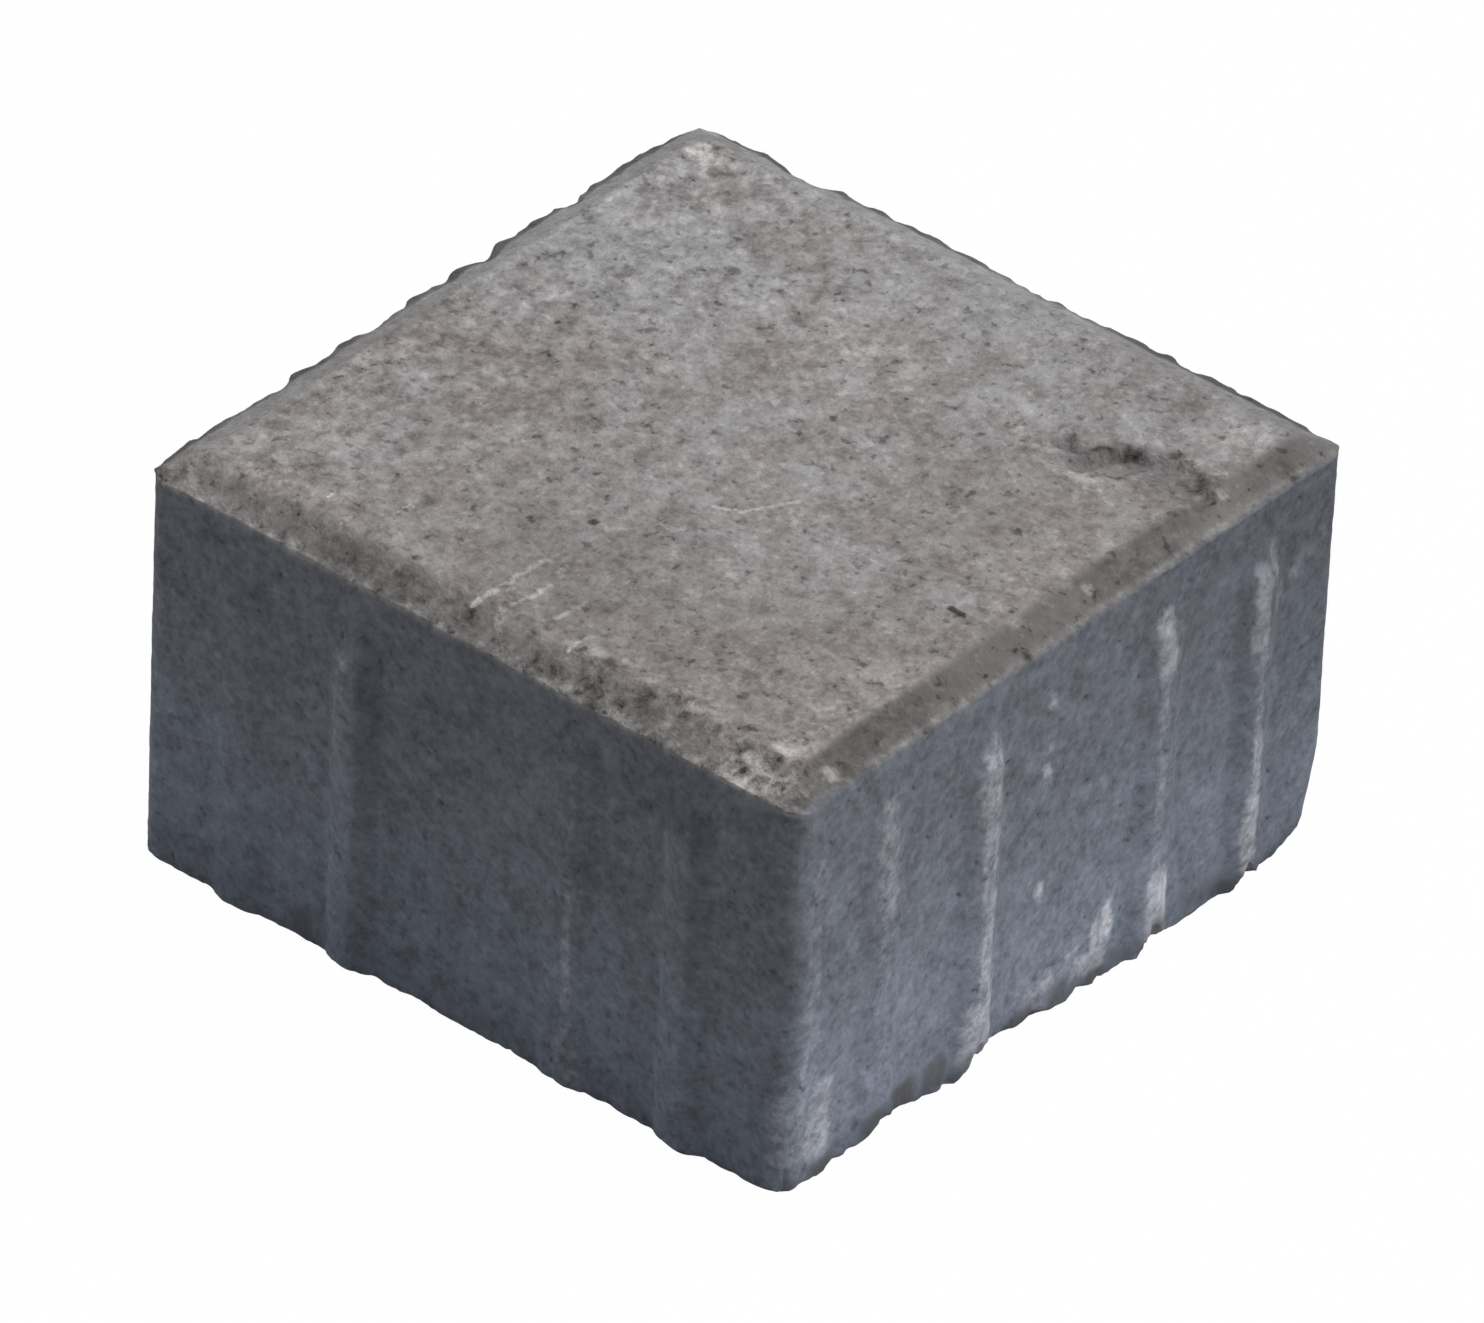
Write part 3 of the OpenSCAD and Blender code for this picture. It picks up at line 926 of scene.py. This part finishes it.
COOL_SHARE = 0.43
on_wearing_face = mask("wearing").ramp(0.3, 0.7)
far_edge = mask("far_edge")
cool = clouds * 0.35 + patches * 0.35 + clumps * 0.12 + far_edge * 0.5 + mask("cool") + COOL_SHARE
bloom = blend(cool, WARM_BLOOM, COOL_BLOOM)
worn = blend((mask("soiled") + breakup * 0.3 + patches * 0.15).ramp(0.1, 0.95), bloom, CHAMFER_BROWN)
bare = blend(mask("low_down") + patches * 0.2, SIDE_GREY, SIDE_BLUE)
colour = blend(on_wearing_face, bare, worn)
colour = coat(colour, "lime_and_highlight", LIME_AND_HIGHLIGHT_PALE, start=0.05, whole=1.05, ragged=0.14)
colour = blend(mask("arris") * (clumps * 0.25 + 0.8), colour, ARRIS_PALE)
# Pale and dark blotches: stains, with painted highlights and painted shade among them.
colour = coat(colour, "stains_and_painted_light", STAIN_AND_HIGHLIGHT_PALE, start=0.15, whole=1.1, ragged=0.22)
colour = coat(colour, "stains_and_painted_light", STAIN_AND_SHADE_DARK, start=0.15, whole=0.95, ragged=0.25, sign=-1)
colour = coat(colour, "scratched", SCRATCH_PALE, start=0.6, whole=0.9, ragged=0.14, cover=0.85)
colour = coat(colour, "cracked", STAIN_AND_SHADE_DARK, start=0.55, whole=0.8, ragged=0.14)
colour = coat(colour, "lip", LIP_DARK, start=0.2, whole=0.9, ragged=0.15)
print(f"colours: {len(finish.nodes)} nodes so far")

# %% Grain
BASE_BRIGHTNESS = 1.02
LEAST_BRIGHTNESS = 0.15
CRUMBLY_CONTRAST = 0.4
PINHOLE_SHADE_DARKER = 0.4
BUMP_STRENGTH = 0.8
BUMP_DEPTH = 0.08 * MM
crumbly_edge = mask("crumbly")
grain = sand * 0.19 + clumps * 0.21 + patches * 0.11 + clouds * 0.06
dark_specks = (specks * -1 + patches * 0.2).ramp(0.6, 1.25) * (on_wearing_face * 0.2 + 0.25)
pale_flecks = (specks + patches * 0.15 + crumbly_edge * 0.3).ramp(0.55, 1.1) * on_wearing_face * 0.3
speckle = (grain + pale_flecks - dark_specks) * (on_wearing_face * 0.08 + 0.92 - far_edge * 0.35)
brightness = speckle + clumps * crumbly_edge * CRUMBLY_CONTRAST + BASE_BRIGHTNESS
# Pinholes are darkened: painted shade in them.
pinhole_shade = mask("pit").ramp(0.3, 0.8) * PINHOLE_SHADE_DARKER
shade = (brightness * mask("tone") * (pinhole_shade * -1 + 1)).math("MAXIMUM", LEAST_BRIGHTNESS)
feed(shader.inputs["Base Color"], colour.times(shade))

relief = (sand + clumps * 0.8 - dark_specks * 2) * (mask("wearing") * 0.6 + 0.4)
bump = {"Strength": BUMP_STRENGTH, "Distance": BUMP_DEPTH, "Height": relief}
feed(shader.inputs["Normal"], made(finish, "ShaderNodeBump", "Normal", bump))
print(f"concrete material: {len(finish.nodes)} nodes")

# %% [markdown]
# ## The cast skin
# Pressed concrete is full of pinholes, which repeat in their hundreds, so Geometry Nodes scatter them:
# points are dropped on the faces, and each corner of the mesh moves in by its distance from the nearest
# point. The same tree first rolls the skin with noise, by the roughness stored above. It ends in Realize
# Instances and Set Material, and the result is kept as a plain mesh.

# %% Inputs of the Geometry Nodes tree for the skin
SKIN_INPUTS = {
    "Grain Size": 2.0 * MM,
    "Grain Height": 0.13 * MM,
    "Wave Size": 22 * MM,
    "Wave Height": 0.09 * MM,
    "Noise Seed": 3.0,
    "Pit Density": 13000.0,
    "Pit Radius": 0.95 * MM,
    "Pit Depth": 0.45 * MM,
}
skin = bpy.data.node_groups.new("cast_skin", "GeometryNodeTree")
skin.interface.new_socket("Geometry", in_out="OUTPUT", socket_type="NodeSocketGeometry")
skin.interface.new_socket("Geometry", in_out="INPUT", socket_type="NodeSocketGeometry")
for name in SKIN_INPUTS:
    skin.interface.new_socket(name, in_out="INPUT", socket_type="NodeSocketFloat")
skin.interface.new_socket("Material", in_out="INPUT", socket_type="NodeSocketMaterial")
given = add_node(skin, "NodeGroupInput")
sizes = {name: Value(given.outputs[name]) for name in SKIN_INPUTS}
print(f"skin tree: {len(sizes)} sizes to set")


# %% Helpers for the skin
PIT_SMALLEST = 0.3


def stored(name):
    """A mask that is stored on the mesh."""
    return made(skin, "GeometryNodeInputNamedAttribute", "Attribute", {"Name": name}, data_type="FLOAT")


def move_out(mesh, distance):
    """Moves every corner along its normal."""
    normal = made(skin, "GeometryNodeInputNormal", "Normal", {})
    inputs = {"Geometry": mesh, "Offset": normal.times(distance)}
    return made(skin, "GeometryNodeSetPosition", "Geometry", inputs)


def scattered_pits(mesh, density, radius, depth, seed):
    """Round pits dropped at random on the faces of the mesh, each with a size of its own."""
    drop = {"Mesh": mesh, "Density": density, "Seed": seed}
    points = made(skin, "GeometryNodeDistributePointsOnFaces", "Points", drop)
    # Input 2 of a Random Value node is the least float, and output 1 is the float.
    share = made(skin, "FunctionNodeRandomValue", 1, {2: PIT_SMALLEST, "Seed": seed}, data_type="FLOAT")
    nearest = made(skin, "GeometryNodeSampleNearest", "Index", {"Geometry": points})
    sample = {"Geometry": points, "Value": share, "Index": nearest}
    own_share = made(skin, "GeometryNodeSampleIndex", "Value", sample, data_type="FLOAT")
    target = {"Geometry": points}
    distance = made(skin, "GeometryNodeProximity", "Distance", target, target_element="POINTS")
    bowl = (distance / (own_share * radius)).ramp(1.0, 0.0)
    keep = {"Geometry": mesh, "Name": "pit", "Value": bowl}
    kept = made(skin, "GeometryNodeStoreNamedAttribute", "Geometry", keep, data_type="FLOAT", domain="POINT")
    return move_out(kept, stored("pit") * depth * -1)


# %% Geometry Nodes tree for the skin
WAVE_SEED_STEP = 5
PIT_SEED = 11
position = made(skin, "GeometryNodeInputPosition", "Position", {})
grains = lumpy(position, sizes["Grain Size"], 2, sizes["Noise Seed"]) * sizes["Grain Height"]
waves = lumpy(position, sizes["Wave Size"], 1, sizes["Noise Seed"] + WAVE_SEED_STEP) * sizes["Wave Height"]
rolled = move_out(Value(given.outputs["Geometry"]), grains * stored("rough") + waves)
pitted = scattered_pits(rolled, sizes["Pit Density"], sizes["Pit Radius"], sizes["Pit Depth"], PIT_SEED)
realized = made(skin, "GeometryNodeRealizeInstances", "Geometry", {"Geometry": pitted})
paint = {"Geometry": realized, "Material": Value(given.outputs["Material"])}
painted = made(skin, "GeometryNodeSetMaterial", "Geometry", paint)
feed(add_node(skin, "NodeGroupOutput").inputs["Geometry"], painted)
print(f"skin tree: {len(skin.nodes)} nodes")

# %% Grow the skin on the stone
grow = stone.modifiers.new("cast_skin", "NODES")
grow.node_group = skin
identifiers = {item.name: item.identifier for item in skin.interface.items_tree if item.in_out == "INPUT"}
for name, size in SKIN_INPUTS.items():
    grow[identifiers[name]] = size
grow[identifiers["Material"]] = concrete
depsgraph = bpy.context.evaluated_depsgraph_get()
worn_mesh = bpy.data.meshes.new_from_object(stone.evaluated_get(depsgraph))
worn_mesh.name = "worn_stone"
stone.modifiers.clear()
stone.data = worn_mesh
bpy.data.meshes.remove(laid_mesh)
print(f"skin grown on {len(worn_mesh.vertices)} corners")

# %% Set the bed flat on the floor and ride the frame
grown = np.empty(len(worn_mesh.vertices) * 3)
worn_mesh.vertices.foreach_get("co", grown)
grown = grown.reshape(-1, 3)
grown[:, 2] = np.clip(grown[:, 2], 0, None)
worn_mesh.vertices.foreach_set("co", grown.ravel())
worn_mesh.polygons.foreach_set("use_smooth", np.ones(len(worn_mesh.polygons), dtype=bool))
worn_mesh.update()
triangles = sum(len(face.vertices) - 2 for face in worn_mesh.polygons)
print(f"worn stone: {triangles} triangles, materials {[m.name for m in worn_mesh.materials]}")
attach(stone, "root")
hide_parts("paving_stone")

# %% [markdown]
# ## Floor and light
# The picture is lit softly from above and behind, more from the right, so the wearing face is the brightest,
# the right face is half lit and the left face lies in shade. One large overhead lamp behind the stone does
# most of this, and a white floor sends a little light back up the sides. Lamps could be any strength; these
# are set so that a colour renders about as it is written.

# %% Helpers for floor and sky
def looked_at(tree):
    """1 on rays from the camera, a mirror or a clear body, and 0 on rays that gather light."""
    path = add_node(tree, "ShaderNodeLightPath")
    seen = Value(path.outputs["Is Camera Ray"]) + Value(path.outputs["Is Glossy Ray"])
    return (seen + Value(path.outputs["Is Transmission Ray"])).math("MINIMUM", 1)


def mixed(tree, share, first, second, kind):
    """Mixes two shaders and leads them to the tree's output."""
    mix = add_node(tree, "ShaderNodeMixShader")
    feed(mix.inputs["Fac"], share)
    tree.links.new(first.outputs[0], mix.inputs[1])
    tree.links.new(second.outputs[0], mix.inputs[2])
    tree.links.new(mix.outputs[0], add_node(tree, kind).inputs["Surface"])


# %% Floor
FLOOR_SIZE = 8.0
FLOOR_SIGNS = ((-1, -1), (1, -1), (1, 1), (-1, 1))
FLOOR_WHITE = (0.86, 0.86, 0.86, 1)
FLOOR_GLOW = 0.985
floor_half = FLOOR_SIZE / 2
floor_corners = [(sign_x * floor_half, sign_y * floor_half, 0) for sign_x, sign_y in FLOOR_SIGNS]
floor_mesh = bpy.data.meshes.new("floor")
floor_mesh.from_pydata(floor_corners, [], [(0, 1, 2, 3)])
floor = bpy.data.objects.new("floor", floor_mesh)
bpy.context.collection.objects.link(floor)

paper = bpy.data.materials.new("white_paper")
sheet = cleared_tree(paper)
matt = add_node(sheet, "ShaderNodeBsdfDiffuse")
feed(matt.inputs["Color"], FLOOR_WHITE)
glow = add_node(sheet, "ShaderNodeEmission")
mixed(sheet, looked_at(sheet) * FLOOR_GLOW, matt, glow, "ShaderNodeOutputMaterial")
floor_mesh.materials.append(paper)
print(f"floor {FLOOR_SIZE:.0f} m square")

# %% Lamps
# Each lamp: its direction from the stone, the length of its side and its power.
LAMPS = {
    "overhead": ((0.36, 0.24, 1.0), 1.2, 25),
    "right_side": ((1.0, 0.1, 0.35), 0.9, 3.2),
    "left_graze": ((-1.0, -0.16, 0.25), 0.6, 4.0),
}
LAMP_DISTANCE = 1.6
for name, (direction, side, power) in LAMPS.items():
    lamp = bpy.data.lights.new(name, "AREA")
    lamp.shape = "SQUARE"
    lamp.size = side
    lamp.energy = power
    light = bpy.data.objects.new(name, lamp)
    away = Vector(direction).normalized()
    facing_stone = away.to_track_quat("Z", "Y").to_matrix().to_4x4()
    light.matrix_world = Matrix.Translation(aim + away * LAMP_DISTANCE) @ facing_stone
    bpy.context.collection.objects.link(light)
    print(f"{name} lamp: {side} m square, {power} W")

# %% Sky
SKY_LIGHT = 0.12
SKY_WHITE = (1, 1, 1, 1)
sky = bpy.data.worlds.new("sky")
bpy.context.scene.world = sky
air = cleared_tree(sky)
faint = add_node(air, "ShaderNodeBackground")
feed(faint.inputs["Color"], SKY_WHITE)
feed(faint.inputs["Strength"], SKY_LIGHT)
white = add_node(air, "ShaderNodeBackground")
feed(white.inputs["Color"], SKY_WHITE)
mixed(air, looked_at(air), faint, white, "ShaderNodeOutputWorld")
bpy.context.scene.view_settings.view_transform = "Standard"
print(f"sky of strength {SKY_LIGHT} on the stone")
